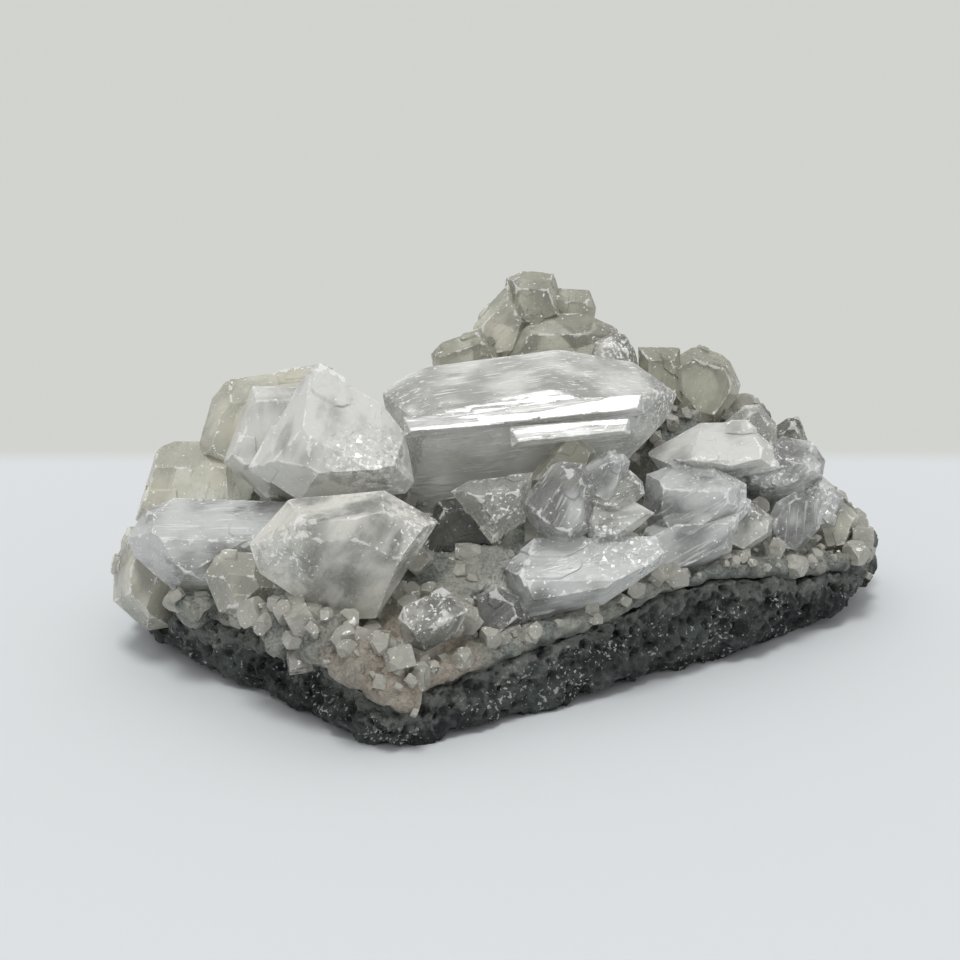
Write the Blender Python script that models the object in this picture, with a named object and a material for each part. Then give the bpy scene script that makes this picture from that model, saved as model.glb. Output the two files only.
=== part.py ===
"""Crystal cluster on a slab of vesicular basalt, modelled at its real size.

Frame: +Z up, +X to the right and +Y away from whoever looks at the show side. The cluster is laid
out in millimetres about a point near the middle of its base. The last step moves it so that the
bottom centre of its box is the origin, and turns millimetres into metres.
"""
import itertools
import math
import random

import bmesh
import bpy
import numpy as np
from mathutils import Euler, Matrix, Vector, noise

MM = 0.001

# Driving dimensions, in millimetres
TOUCH_GAP = 0.3
CRUST_GAP = 0.35
CRUST_THICKNESS = 2.6
CRUST_ROUGHNESS = 1.2
ROCK_ROUGHNESS = 1.0
SIDE_ROUGHNESS = 1.6
WELD = 0.01

# The slab's rings, as shares of the way from its centre to its rim
RIM_STATIONS = 50
FOOT_SHARE = 0.88
LOWER_SHARE = 0.97
RIM_SHARE = 0.98
SLOPE_SHARE = 0.36
BED_SHARES = (0.98, 0.86, 0.72, 0.45, 0.15)
CRUST_SHARES = (0.98, 0.89, 0.77, 0.62, 0.46, 0.28, 0.12)
BED_DROP = 4.0

# Small crystals on the crust
DRUSE_SEED = 7
RIM_DRUSE_TRIES = 14
RIM_DRUSE_SHARES = (0.86, 0.96)
RIM_HALF_SIZES = (1.5, 2.6)
BACK_DRUSE_TRIES = 40
BACK_DRUSE_SHARES = (0.5, 0.95)
BACK_HALF_SIZES = (2.6, 4.6)
BACK_LINE = 24
SPREAD = 0.618
CORNER_CUT = 0.35

# Lumps of crust on the show side, each as its middle and half size
CRUST_LUMPS = (
    (-21, -36, 12, 4),
    (-27, -31, 14, 4),
    (-17, -37, 9, 3),
    (-33, -26, 14, 4),
    (-48, -14, 13, 3),
    (56, 18, 12, 3.5),
    (57, 24, 11, 3.5),
    (55, 13, 10, 3),
    (-10, -27, 16, 3),
)

# Corners of the basalt slab in plan, each with the heights of its lower and upper edge
SLAB_RIM = (
    (-18, -40, 0, 7),
    (-6, -33, 0, 9),
    (7, -25, 1, 11),
    (20, -17, 2, 13),
    (28, -12, 3, 15),
    (37, -7, 3, 14),
    (47, 1, 3, 11),
    (56, 9, 3, 9),
    (62, 19, 4, 9),
    (61, 30, 4, 11),
    (51, 39, 3, 13),
    (36, 43, 2, 16),
    (17, 46, 1, 19),
    (-6, 45, 1, 18),
    (-28, 40, 1, 15),
    (-46, 32, 2, 12),
    (-58, 20, 3, 9),
    (-62, 7, 4, 8),
    (-59, -2, 3, 8),
    (-51, -11, 1, 10),
    (-40, -20, 0, 10),
    (-30, -29, 0, 10),
    (-23, -36, 0, 8),
)
SLAB_CENTRE = (0, 6)

# Swells of the slab's top: plan position, height and radius
SWELLS = (
    (4, 33, 20, 12),
    (-7, 26, 10, 9),
    (18, 20, 14, 11),
    (34, 20, 13, 12),
    (-32, -2, 11, 15),
    (2, 0, 8, 16),
)
PLATEAU_HEIGHT = 18

# Hollows broken into the slab's side: position, radius and depth
HOLLOWS = (
    (-36, -25, 8, 7, 5),
    (28, -12, 12, 6, 4),
    (52, 6, 8, 5, 2),
)


# How the show side is seen: from the front and a little above
VIEW_LIFT = math.radians(18)
VIEW_RIGHT = Vector((1, 0, 0))
VIEW_UP = Vector((0, math.sin(VIEW_LIFT), math.cos(VIEW_LIFT)))
TO_VIEWER = Vector((0, -math.cos(VIEW_LIFT), math.sin(VIEW_LIFT)))
BACK_LEAN = 20
FACE_WOBBLE = 2.0

# The large barrel-shaped crystal: its middle, and its upper face as the angle and lean of that face
BARREL_CENTRE = (0, 0, 37)
BARREL_FACE = (95, 62)
BARREL_FACE_DISTANCE = 11
LEDGE_RISE = 0.8


def clear_scene():
    for thing in list(bpy.data.objects):
        bpy.data.objects.remove(thing, do_unlink=True)


def material(name, colour, roughness, transmission=0.0):
    made = bpy.data.materials.new(name)
    made.use_nodes = True
    shader = made.node_tree.nodes["Principled BSDF"]
    shader.inputs["Base Color"].default_value = (*colour, 1.0)
    shader.inputs["Roughness"].default_value = roughness
    shader.inputs["Metallic"].default_value = 0.0
    shader.inputs["Transmission Weight"].default_value = transmission
    return made


# Crystals with flat faces. Every face is described as the show side sees it. Its angle is the way it
# points in that view, with 0 to the right and 90 up. Its lean is how far it turns to the viewer, from 0
# for edge on to 90 for head on.

def face_normal(angle, lean):
    across = math.cos(math.radians(lean))
    right = across * math.cos(math.radians(angle))
    up = across * math.sin(math.radians(angle))
    return VIEW_RIGHT * right + VIEW_UP * up + TO_VIEWER * math.sin(math.radians(lean))


def crystal(centre, outline, front, back, lean=25, facets=()):
    """Planes of one crystal: its outline faces, head-on faces before and behind, and further facets.

    The outline lists (angle, distance) or (angle, distance, lean) of each side. The lean is that of the
    bevel between the side and the front face.
    """
    middle = Vector(centre)
    chance = random.Random(repr(centre))
    planes = []

    def add(angle, tilt, distance):
        angle += chance.uniform(-FACE_WOBBLE, FACE_WOBBLE)
        tilt += chance.uniform(-FACE_WOBBLE, FACE_WOBBLE)
        normal = face_normal(angle, tilt)
        planes.append((normal, distance + normal.dot(middle)))

    for side in outline:
        angle, distance = side[:2]
        tilt = side[2] if len(side) == 3 else lean
        add(angle, tilt, distance * math.cos(math.radians(tilt)))
        add(angle, -BACK_LEAN, distance * math.cos(math.radians(BACK_LEAN)))
    add(90, 90, front)
    add(270, -90, back)
    for angle, tilt, distance in facets:
        add(angle, tilt, distance)
    return planes


def plane_corners(planes, grow):
    """Corners of the solid that lies behind all the planes, each plane moved out by grow."""
    normals = np.array([normal for normal, _ in planes])
    distances = np.array([distance for _, distance in planes]) + grow
    trios = np.array(list(itertools.combinations(range(len(planes)), 3)))
    systems = normals[trios]
    solvable = np.abs(np.linalg.det(systems)) > 1e-3
    points = np.linalg.solve(systems[solvable], distances[trios[solvable]][..., None])[..., 0]
    inside = (points @ normals.T <= distances + 1e-4).all(axis=1)
    return points[inside]


def crystal_mesh(planes, grow=0.0):
    """Closed mesh of one crystal, in millimetres."""
    shape = bmesh.new()
    for point in plane_corners(planes, grow):
        shape.verts.new(point)
    bmesh.ops.remove_doubles(shape, verts=shape.verts, dist=0.15)
    hull = bmesh.ops.convex_hull(shape, input=shape.verts)
    inner = {part for part in hull["geom_interior"] if isinstance(part, bmesh.types.BMVert)}
    bmesh.ops.delete(shape, geom=list(inner), context="VERTS")
    bmesh.ops.dissolve_limit(shape, angle_limit=math.radians(1), verts=shape.verts, edges=shape.edges)
    bmesh.ops.recalc_face_normals(shape, faces=shape.faces)
    return shape


# Each function below is one group of crystals that have grown into each other

def barrel_ledge(along, up, length, width):
    """A thin step on the barrel's upper face. It runs along the barrel, up and along from the middle."""
    normal = face_normal(*BARREL_FACE)
    run = (VIEW_RIGHT - normal * VIEW_RIGHT.dot(normal)).normalized()
    climb = normal.cross(run)
    if climb.z < 0:
        climb = -climb
    centre = Vector(BARREL_CENTRE) + normal * BARREL_FACE_DISTANCE + run * along + climb * up
    angle = BARREL_FACE[0]
    outline = ((angle, width / 2), (angle + 180, width / 2), (angle - 90, length / 2, 40),
               (angle + 90, length / 2, 40))
    return crystal(tuple(centre), outline, front=4, back=3, facets=((*BARREL_FACE, LEDGE_RISE),))


def striated_barrel_crystal():
    return [
        crystal(BARREL_CENTRE, ((10, 27), (55, 18.5, 20), (80, 12.5, 35), (98, 10.5, 35), (115, 13.5, 35),
                                (133, 17, 35), (190, 19), (275, 12.5, 45), (290, 13.5, 50), (315, 17, 30),
                                (340, 23, 30)),
                front=14, back=12, facets=((*BARREL_FACE, BARREL_FACE_DISTANCE), (270, 55, 12.5))),
        barrel_ledge(7, -4.4, 26, 3.2),
        barrel_ledge(9, -8, 18, 2.8),
        barrel_ledge(-8, -6, 16, 3),
        crystal((8, -10, 34), ((50, 4), (115, 3.5), (140, 2.5), (255, 5), (295, 5), (340, 4)), front=2, back=6),
    ]


def milky_block_crystals():
    return [
        crystal((-27, -12, 37), ((10, 11), (38, 9.5, 40), (60, 9, 50), (110, 11.5), (150, 9, 30), (210, 12),
                                 (238, 10, 35), (272, 8), (325, 13, 35)),
                front=8, back=10, facets=((185, 60, 8.5),)),
        crystal((-36, -4, 35), ((5, 7), (90, 8.5), (160, 7, 20), (230, 8), (270, 9)), front=5, back=8),
        crystal((-38, 4, 36), ((70, 10.5), (97, 7.5, 35), (140, 9.5, 30), (165, 10), (240, 11), (270, 9), (300, 9),
                               (355, 10)),
                front=6, back=10),
        crystal((-51, 2, 27), ((5, 10), (90, 6, 30), (110, 6.5), (165, 6.5, 15), (240, 10), (285, 8)),
                front=7, back=9),
    ]


def tilted_cube_crystal():
    return [
        crystal((-25, -28, 26), ((60, 10.5, 20), (95, 8), (138, 10.5, 30), (200, 12.5, 50), (238, 9.5, 50),
                                 (270, 10, 55), (328, 9.5, 15)),
                front=8, back=14, facets=((0, 70, 8.5), (180, 65, 8.5))),
    ]


def left_prism_crystals():
    return [
        crystal((-46, -12, 22), ((88, 6, 45), (115, 8), (145, 11, 35), (180, 13, 30), (205, 12, 45), (230, 10, 35),
                                 (270, 8.5, 30), (300, 9, 45), (325, 10, 30), (20, 14)),
                front=6, back=12),
        crystal((-58, -4, 11), ((20, 9), (55, 9), (90, 9), (155, 6), (180, 5), (228, 5), (280, 7), (340, 6)),
                front=8, back=9),
        crystal((-41, -20, 18), ((30, 4.5), (85, 4.5, 40), (115, 5, 40), (150, 5, 40), (200, 4.5, 40), (260, 5),
                                 (312, 4.5)),
                front=4, back=9),
    ]


def centre_crystals():
    return [
        crystal((-3, -18, 30), ((95, 3.5, 40), (120, 4.5), (220, 4, 40), (300, 5, 40), (355, 5)), front=3, back=10),
        crystal((7, -18, 30), ((35, 6), (85, 6), (115, 5.5), (140, 4.5, 35), (205, 5.5), (230, 5.5), (260, 6), (310, 6),
                               (350, 5)),
                front=4, back=10),
        crystal((14, -14, 33), ((40, 4), (80, 3.5), (110, 3), (135, 3), (180, 4), (245, 5), (295, 5), (345, 3)),
                front=3, back=9),
        crystal((16, -17, 31), ((10, 3.5), (45, 3.5), (128, 2, 45), (225, 4), (260, 3), (312, 2.5, 40)),
                front=2, back=9),
        crystal((15, -18, 27), ((60, 4), (95, 3, 45), (145, 4), (205, 4.5), (265, 3.5, 30), (310, 3)),
                front=2.5, back=10),
        crystal((-8, -14, 22), ((50, 6), (100, 7), (150, 6), (210, 6), (285, 6), (340, 6)), front=3, back=8),
    ]


def lower_milky_crystals():
    return [
        crystal((10, -21, 20), ((40, 12), (90, 5, 50), (130, 8, 30), (200, 11, 30), (245, 9.5), (280, 5.5, 30),
                                (305, 6), (325, 9)),
                front=5, back=10),
        crystal((-3, -25, 15), ((20, 4.5), (60, 4), (110, 4), (170, 4), (240, 4), (310, 4)), front=3, back=8),
    ]


def front_cube_crystal():
    return [
        crystal((-12, -33, 17), ((55, 4.5, 35), (115, 3.5, 45), (155, 4.5, 35), (195, 4.5), (250, 4.5), (300, 3.5, 30),
                                 (330, 4)),
                front=4, back=9),
    ]


def right_spray_crystals():
    return [
        crystal((32, 1, 32), ((10, 9, 30), (50, 6.5), (90, 4.5, 50), (120, 5, 40), (150, 9), (215, 9), (262, 5, 30),
                              (285, 5)),
                front=5, back=12),
        crystal((39, 8, 34), ((5, 3.5), (40, 3), (95, 3.5), (130, 3.5), (200, 5), (245, 7), (305, 6)), front=3, back=7),
        crystal((45, 11, 26), ((35, 6, 35), (80, 5, 40), (115, 5), (155, 8), (200, 9), (245, 7), (280, 5), (300, 4.5),
                               (350, 6)),
                front=5, back=9),
        crystal((28, -5, 25), ((0, 8.5, 35), (60, 7), (85, 6.5, 40), (110, 7), (175, 7.5), (210, 7.5), (260, 7),
                               (295, 7), (315, 6.5, 35)),
                front=5, back=12),
        crystal((27, -9, 20), ((90, 4.5), (115, 5), (160, 7), (255, 5.5), (295, 4), (350, 7)), front=3, back=10),
        crystal((37, -2, 20), ((55, 4), (130, 4), (185, 5), (245, 4), (305, 3), (350, 4)), front=2, back=9),
    ]


def right_end_crystals():
    return [
        crystal((45, 4, 19), ((0, 4.5), (75, 5), (120, 4), (155, 3.5), (195, 4), (260, 5), (320, 4)),
                front=2, back=10),
        crystal((54, 13, 15), ((50, 4), (115, 4), (195, 4), (280, 4), (340, 3)), front=3, back=9),
        crystal((51, 12, 19), ((45, 4), (130, 5), (220, 5), (285, 4), (345, 3.5)), front=3, back=8),
    ]


def right_knob_crystal():
    return [
        crystal((47, 19, 27), ((25, 3), (55, 4.5), (90, 5), (125, 4.5), (180, 4), (250, 7), (290, 7), (345, 4)),
                front=3, back=7),
    ]


def crest_crystals():
    return [
        crystal((4, 30, 50), ((20, 4.5), (85, 4.5, 40), (115, 5), (172, 5), (250, 6), (290, 6)), front=4, back=7),
        crystal((11, 30, 48), ((20, 3.5), (85, 3.5, 40), (165, 4.5), (225, 5), (305, 6), (350, 3.5)),
                front=3, back=6),
        crystal((-2, 27, 46), ((30, 5), (135, 3.5, 30), (155, 3.5), (180, 4), (280, 6), (340, 5)), front=3, back=8),
        crystal((-8, 23, 41), ((30, 6), (60, 5.5), (110, 4, 40), (135, 4.5), (190, 5), (250, 6), (285, 6), (325, 6)),
                front=3, back=8),
        crystal((9, 25, 44), ((65, 5.5), (92, 4.5, 45), (150, 7), (180, 10), (270, 7), (320, 9), (10, 9)),
                front=4, back=9),
        crystal((17, 16, 43), ((15, 3.5), (40, 3.5), (70, 4, 40), (120, 4), (160, 4), (200, 5), (250, 6), (290, 6)),
                front=3, back=9),
    ]


def back_right_crystals():
    return [
        crystal((32, 20, 38), ((25, 5.5), (50, 5.5), (70, 5.5, 35), (95, 6), (120, 6), (170, 7), (220, 6), (260, 7),
                               (325, 6), (345, 6)),
                front=4, back=8),
        crystal((24, 18, 41), ((5, 4), (90, 3.5, 40), (180, 3), (230, 4), (270, 6)), front=3, back=8),
    ]


CRYSTAL_GROUPS = {
    "striated_barrel_crystal": striated_barrel_crystal,
    "milky_block_crystals": milky_block_crystals,
    "tilted_cube_crystal": tilted_cube_crystal,
    "left_prism_crystals": left_prism_crystals,
    "centre_crystals": centre_crystals,
    "lower_milky_crystals": lower_milky_crystals,
    "front_cube_crystal": front_cube_crystal,
    "right_spray_crystals": right_spray_crystals,
    "right_end_crystals": right_end_crystals,
    "right_knob_crystal": right_knob_crystal,
    "crest_crystals": crest_crystals,
    "back_right_crystals": back_right_crystals,
}


def druse_crystal(place, half, chance):
    """Planes of one small block that stands on the crust, turned at random."""
    turn = Euler([chance.uniform(0, math.tau) for _ in range(3)]).to_matrix()
    sizes = [half * chance.uniform(0.8, 1.2) for _ in range(3)]
    planes = []
    for signs in itertools.product((-1, 0, 1), repeat=3):
        rank = sum(abs(sign) for sign in signs)
        if rank in (1, 3):
            normal = Vector([sign / size for sign, size in zip(signs, sizes)])
            reach = (rank - CORNER_CUT * (rank == 3)) / normal.length
            normal = turn @ normal.normalized()
            planes.append((normal, reach + normal.dot(place)))
    return planes


# The slab and its crust are built of rings of points, one ring inside or above the other

def smooth_step(value):
    value = min(max(value, 0.0), 1.0)
    return value * value * (3 - 2 * value)


def rim_stations():
    """Points at equal steps along the slab's rim: plan position, lower height and upper height."""
    corners = [Vector(corner) for corner in SLAB_RIM]
    sides = list(zip(corners, corners[1:] + corners[:1]))
    lengths = [(end.xy - start.xy).length for start, end in sides]
    step = sum(lengths) / RIM_STATIONS
    stations = []
    for index in range(RIM_STATIONS):
        left = index * step
        side = 0
        while left > lengths[side]:
            left -= lengths[side]
            side += 1
        start, end = sides[side]
        stations.append(start.lerp(end, left / lengths[side]))
    return stations


def swell_height(x, y):
    height = PLATEAU_HEIGHT
    for swell_x, swell_y, rise, radius in SWELLS:
        apart = math.hypot(x - swell_x, y - swell_y) / radius
        height += rise * math.exp(-apart * apart)
    return height


def ring_at(share):
    """Plan points of the rim drawn in towards the slab's centre."""
    centre = Vector(SLAB_CENTRE)
    return [centre + (Vector((x, y)) - centre) * share for x, y, low, high in rim_stations()]


def roughness_at(x, y, z, size):
    return noise.fractal(Vector((x, y, z)) / size, 0.8, 2.0, 3)


def top_ring(share, drop=0.0):
    """Ring of points on the top of the slab. A drop lowers it everywhere but at the rim."""
    ring = []
    for plan, (_, _, _, high) in zip(ring_at(share), rim_stations()):
        inland = smooth_step((RIM_SHARE - share) / SLOPE_SHARE)
        height = high + (swell_height(*plan) - drop - high) * inland
        height += ROCK_ROUGHNESS * roughness_at(plan.x, plan.y, 0, 6)
        ring.append(Vector((plan.x, plan.y, height)))
    return ring


def push_into_hollows(point, outward):
    for x, y, z, radius, depth in HOLLOWS:
        apart = (point - Vector((x, y, z))).length / radius
        if apart < 1:
            point = point - outward * depth * smooth_step(1 - apart)
    return point


def rock_side(share, climb, swell):
    """Ring of points on the broken side of the slab, at a share of the way up it. A swell moves it out."""
    ring = []
    for plan, (_, _, low, high) in zip(ring_at(share), rim_stations()):
        outward = Vector((*(plan - Vector(SLAB_CENTRE)), 0)).normalized()
        point = Vector((plan.x, plan.y, low + (high - low) * climb))
        point += outward * SIDE_ROUGHNESS * roughness_at(*point, 7)
        ring.append(point + outward * swell if swell else push_into_hollows(point, outward))
    return ring


def ring_solid(rings, first_cap, last_cap):
    """Closed mesh of rings that follow each other, closed at both ends by a fan to one point."""
    shape = bmesh.new()
    rows = [[shape.verts.new(point) for point in ring] for ring in rings]
    for row, after in zip(rows, rows[1:]):
        for index in range(len(row)):
            other = (index + 1) % len(row)
            shape.faces.new((row[index], row[other], after[other]))
            shape.faces.new((row[index], after[other], after[index]))
    for row, tip in ((rows[0], first_cap), (rows[-1], last_cap)):
        point = shape.verts.new(tip)
        for index in range(len(row)):
            shape.faces.new((row[index], row[(index + 1) % len(row)], point))
    bmesh.ops.recalc_face_normals(shape, faces=shape.faces)
    return shape


def raised(ring, rise):
    return [point + Vector((0, 0, rise)) for point in ring]


def ring_centre(ring):
    return sum(ring, Vector()) / len(ring)


def basalt_slab(swell=0.0):
    """The slab, with the flat facet that it rests on. A swell grows it and fills its hollows, for a cutter."""
    foot = [Vector((plan.x, plan.y, 0)) for plan in ring_at(FOOT_SHARE)]
    sides = [rock_side(LOWER_SHARE, 0.05, swell), rock_side(1.0, 0.35, swell), rock_side(1.0, 0.7, swell)]
    tops = [raised(top_ring(share, BED_DROP), swell) for share in BED_SHARES]
    return ring_solid([foot, *sides, *tops], ring_centre(foot), ring_centre(tops[-1]))


def crust_top(share):
    ring = []
    for point in top_ring(share):
        lump = CRUST_ROUGHNESS * roughness_at(point.x, point.y, 30, 5)
        ring.append(point + Vector((0, 0, CRUST_GAP + CRUST_THICKNESS + lump)))
    return ring


def crust_layer():
    """The chalky layer on the slab. It keeps a hair's breadth above the rock."""
    under = [raised(top_ring(share, BED_DROP), CRUST_GAP) for share in BED_SHARES]
    over = [crust_top(share) for share in CRUST_SHARES]
    bulge = []
    for plan, low, high in zip(ring_at(1.0), under[0], over[0]):
        bulge.append(Vector((plan.x, plan.y, (low.z + high.z) / 2)))
    return ring_solid([*reversed(under), bulge, *over], ring_centre(under[-1]), ring_centre(over[-1]))


def stands_clear(place, half, crystals):
    """Whether a small block here would keep mostly clear of all the crystals."""
    return all(max(normal.dot(place) - distance for normal, distance in planes) > half for planes in crystals)


def druse_crystals(crystals):
    """Lumps on the show side, small blocks along the rim and larger ones on the far slope."""
    chance = random.Random(DRUSE_SEED)
    planted = [druse_crystal(Vector(lump[:3]), lump[3], chance) for lump in CRUST_LUMPS]
    for index in range(RIM_DRUSE_TRIES):
        place = chance.choice(crust_top(chance.uniform(*RIM_DRUSE_SHARES)))
        half = chance.uniform(*RIM_HALF_SIZES)
        if stands_clear(place, half, crystals + planted):
            planted.append(druse_crystal(place, half, chance))
    for index in range(BACK_DRUSE_TRIES):
        ring = crust_top(chance.uniform(*BACK_DRUSE_SHARES))
        far_points = [point for point in ring if point.y > BACK_LINE]
        place = far_points[int(index * SPREAD % 1 * len(far_points))]
        half = chance.uniform(*BACK_HALF_SIZES)
        if stands_clear(place, half, crystals + planted):
            planted.append(druse_crystal(place, half, chance))
    return planted


# Solids joined and cut

def solid(name, shape):
    mesh = bpy.data.meshes.new(name)
    shape.to_mesh(mesh)
    shape.free()
    thing = bpy.data.objects.new(name, mesh)
    bpy.context.scene.collection.objects.link(thing)
    return thing


def largest_part(shape):
    """Deletes all but the largest connected part."""
    left = set(shape.verts)
    parts = []
    while left:
        part = {left.pop()}
        edge = list(part)
        while edge:
            for link in edge.pop().link_edges:
                for vert in link.verts:
                    if vert in left:
                        left.discard(vert)
                        part.add(vert)
                        edge.append(vert)
        parts.append(part)
    keep = max(parts, key=len)
    bmesh.ops.delete(shape, geom=[vert for vert in shape.verts if vert not in keep], context="VERTS")
    return len(parts)


def mend(mesh):
    shape = bmesh.new()
    shape.from_mesh(mesh)
    bmesh.ops.remove_doubles(shape, verts=shape.verts, dist=WELD)
    bmesh.ops.dissolve_degenerate(shape, edges=shape.edges, dist=WELD)
    bmesh.ops.dissolve_limit(shape, angle_limit=math.radians(0.2), verts=shape.verts, edges=shape.edges)
    largest_part(shape)
    bmesh.ops.triangulate(shape, faces=shape.faces)
    shape.to_mesh(mesh)
    shape.free()


def combine(base, others, operation):
    """Joins the other solids to base or cuts them out of it, and removes them."""
    if not others:
        return base
    tools = bpy.data.collections.new("tools")
    bpy.context.scene.collection.children.link(tools)
    for other in others:
        bpy.context.scene.collection.objects.unlink(other)
        tools.objects.link(other)
    step = base.modifiers.new("combine", "BOOLEAN")
    step.operation = operation
    step.solver = "EXACT"
    step.operand_type = "COLLECTION"
    step.collection = tools
    bpy.context.view_layer.update()
    graph = bpy.context.evaluated_depsgraph_get()
    result = bpy.data.meshes.new_from_object(base.evaluated_get(graph))
    base.modifiers.clear()
    base.data = result
    for other in others:
        bpy.data.objects.remove(other, do_unlink=True)
    bpy.data.collections.remove(tools)
    mend(result)
    return base


def crystal_solids(crystals, grow=0.0):
    return [solid("crystal", crystal_mesh(planes, grow)) for planes in crystals]


def reach(points):
    low = [min(point[axis] for point in points) for axis in range(3)]
    high = [max(point[axis] for point in points) for axis in range(3)]
    return low, high


def near(thing, planes):
    """Whether a crystal's box meets the object's box."""
    low, high = reach([vert.co for vert in thing.data.vertices])
    other_low, other_high = reach(plane_corners(planes, TOUCH_GAP))
    return all(low[axis] <= other_high[axis] and other_low[axis] <= high[axis] for axis in range(3))


def cut_clear(thing, crystals):
    """Cuts the crystals out of the object, with a gap where they touch."""
    close = [planes for planes in crystals if near(thing, planes)]
    return combine(thing, crystal_solids(close, TOUCH_GAP), "DIFFERENCE")


def grow_crystals():
    """One object for each group. A group gives way to those before it."""
    things = {}
    before = []
    for name, group in CRYSTAL_GROUPS.items():
        crystals = group()
        first, *others = crystal_solids(crystals)
        thing = combine(first, others, "UNION")
        thing.name = name
        things[name] = cut_clear(thing, before)
        before += crystals
    return things, before


def grow_crust(crystals):
    layer = solid("crystal_crust", crust_layer())
    layer = combine(layer, crystal_solids(druse_crystals(crystals)), "UNION")
    layer = combine(layer, [solid("rock", basalt_slab(TOUCH_GAP))], "DIFFERENCE")
    return cut_clear(layer, crystals)


def place_at_origin(things):
    """Moves the cluster's bottom centre to the origin, in metres, and gives each object its own middle."""
    points = [vert.co for thing in things for vert in thing.data.vertices]
    low, high = reach(points)
    base = Vector(((low[0] + high[0]) / 2, (low[1] + high[1]) / 2, low[2]))
    for thing in things:
        own_low, own_high = reach([vert.co for vert in thing.data.vertices])
        middle = (Vector(own_low) + Vector(own_high)) / 2
        thing.data.transform(Matrix.Scale(MM, 4) @ Matrix.Translation(-middle))
        thing.location = (middle - base) * MM


def main():
    clear_scene()
    things, crystals = grow_crystals()
    things["crystal_crust"] = grow_crust(crystals)
    things["basalt_matrix"] = cut_clear(solid("basalt_matrix", basalt_slab()), crystals)
    finishes = {
        "basalt_matrix": material("basalt", (0.06, 0.065, 0.065), 0.85),
        "crystal_crust": material("chalky crust", (0.42, 0.42, 0.38), 0.7),
    }
    clear = material("clear crystal", (0.86, 0.87, 0.85), 0.15, transmission=0.6)
    for name, thing in things.items():
        thing.data.materials.clear()
        thing.data.materials.append(finishes.get(name, clear))
    place_at_origin(list(things.values()))


if __name__ == "__main__":
    main()
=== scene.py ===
"""Looks of the crystal cluster: its crystals, crust and rock, with floor, light and camera.

Crystals are laid out in millimetres as in the solid model, +X to the right, +Y away from the viewer and +Z
up, about a point near the middle of the base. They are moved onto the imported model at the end.
"""
import itertools
import math
import random

import bmesh
import bpy
import numpy as np
from mathutils import Matrix, Vector, noise
from mathutils.bvhtree import BVHTree


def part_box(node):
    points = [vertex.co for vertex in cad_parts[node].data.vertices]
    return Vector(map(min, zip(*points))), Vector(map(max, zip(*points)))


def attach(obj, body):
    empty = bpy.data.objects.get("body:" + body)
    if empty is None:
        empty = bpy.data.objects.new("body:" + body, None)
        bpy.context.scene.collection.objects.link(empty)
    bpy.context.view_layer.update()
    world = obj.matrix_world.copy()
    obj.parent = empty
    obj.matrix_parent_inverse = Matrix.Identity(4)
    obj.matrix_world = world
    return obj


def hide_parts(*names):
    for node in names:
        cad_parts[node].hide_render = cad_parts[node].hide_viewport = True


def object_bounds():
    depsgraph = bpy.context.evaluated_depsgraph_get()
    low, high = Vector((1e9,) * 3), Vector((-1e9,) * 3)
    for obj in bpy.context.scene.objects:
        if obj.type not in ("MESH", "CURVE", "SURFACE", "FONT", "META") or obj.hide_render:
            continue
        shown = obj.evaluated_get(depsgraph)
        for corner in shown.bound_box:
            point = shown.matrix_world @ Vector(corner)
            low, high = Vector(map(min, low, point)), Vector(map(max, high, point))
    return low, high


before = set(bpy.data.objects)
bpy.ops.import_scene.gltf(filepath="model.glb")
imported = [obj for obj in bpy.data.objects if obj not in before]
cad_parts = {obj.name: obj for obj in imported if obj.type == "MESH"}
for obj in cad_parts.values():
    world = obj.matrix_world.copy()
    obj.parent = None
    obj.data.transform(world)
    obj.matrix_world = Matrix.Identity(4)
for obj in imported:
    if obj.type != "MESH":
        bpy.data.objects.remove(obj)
cad_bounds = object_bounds()

MM = 0.001


# How the show side is seen: from the front and a little above
VIEW_LIFT = math.radians(18)
VIEW_RIGHT = Vector((1, 0, 0))
VIEW_UP = Vector((0, math.sin(VIEW_LIFT), math.cos(VIEW_LIFT)))
TO_VIEWER = Vector((0, -math.cos(VIEW_LIFT), math.sin(VIEW_LIFT)))
BACK_LEAN = 20
FACE_WOBBLE = 2.0

# The large barrel-shaped crystal: its middle, and its upper face as the angle and lean of that face
BARREL_CENTRE = (0, 0, 37)
BARREL_FACE = (95, 62)
BARREL_FACE_DISTANCE = 11
LEDGE_RISE = 0.8

# When three planes count as meeting in a point, how far outside a plane a corner may be, how near corners
# are joined, and up to what angle faces count as one
MEETING = 1e-3
OUTSIDE = 1e-4
CORNER_MERGE = 0.15
FLAT_ANGLE = 1


# Crystals with flat faces. Every face is described as the show side sees it. Its angle is the way it
# points in that view, with 0 to the right and 90 up. Its lean is how far it turns to the viewer, from 0
# for edge on to 90 for head on.

def face_normal(angle, lean):
    across = math.cos(math.radians(lean))
    right = across * math.cos(math.radians(angle))
    up = across * math.sin(math.radians(angle))
    return VIEW_RIGHT * right + VIEW_UP * up + TO_VIEWER * math.sin(math.radians(lean))


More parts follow.
